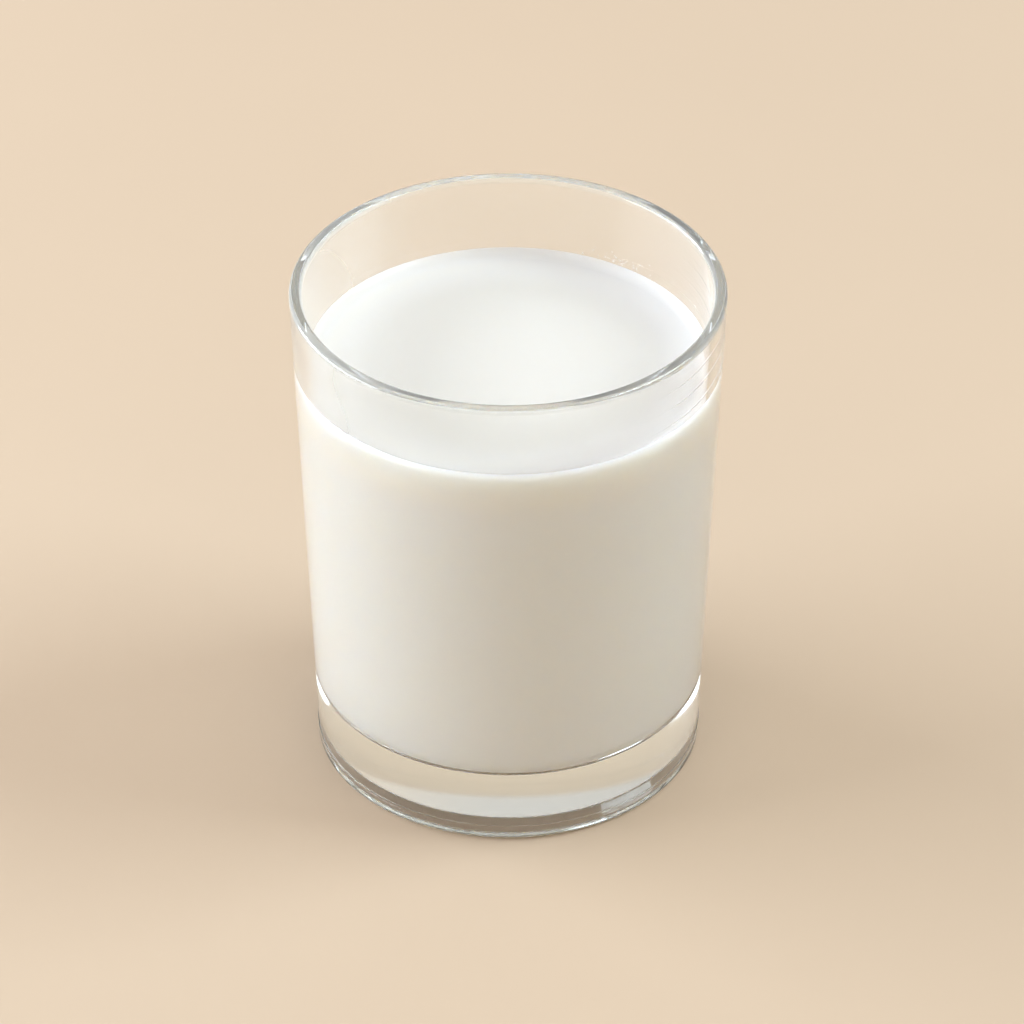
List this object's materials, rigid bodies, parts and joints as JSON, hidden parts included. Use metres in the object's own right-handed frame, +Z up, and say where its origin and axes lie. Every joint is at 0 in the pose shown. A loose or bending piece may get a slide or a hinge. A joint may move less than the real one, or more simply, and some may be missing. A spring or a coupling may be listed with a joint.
{
  "type": "glass of milk",
  "caption": "Plain straight-sided clear drinking glass with a thick clear base and rounded rim, filled with white milk to a little below the rim.",
  "frame": {"origin": "middle of the circle that the glass stands on", "axes": "+Z up along the axis of the glass; the glass looks the same all round it"},
  "size_m": [0.08, 0.08, 0.0992],
  "materials": {
    "clear_glass": "clear, polished soda-lime glass",
    "milk": "opaque white liquid with a smooth, wet surface"
  },
  "bodies": {
    "root": {"tumbler": "clear_glass", "milk": "milk"}
  },
  "joints": []
}
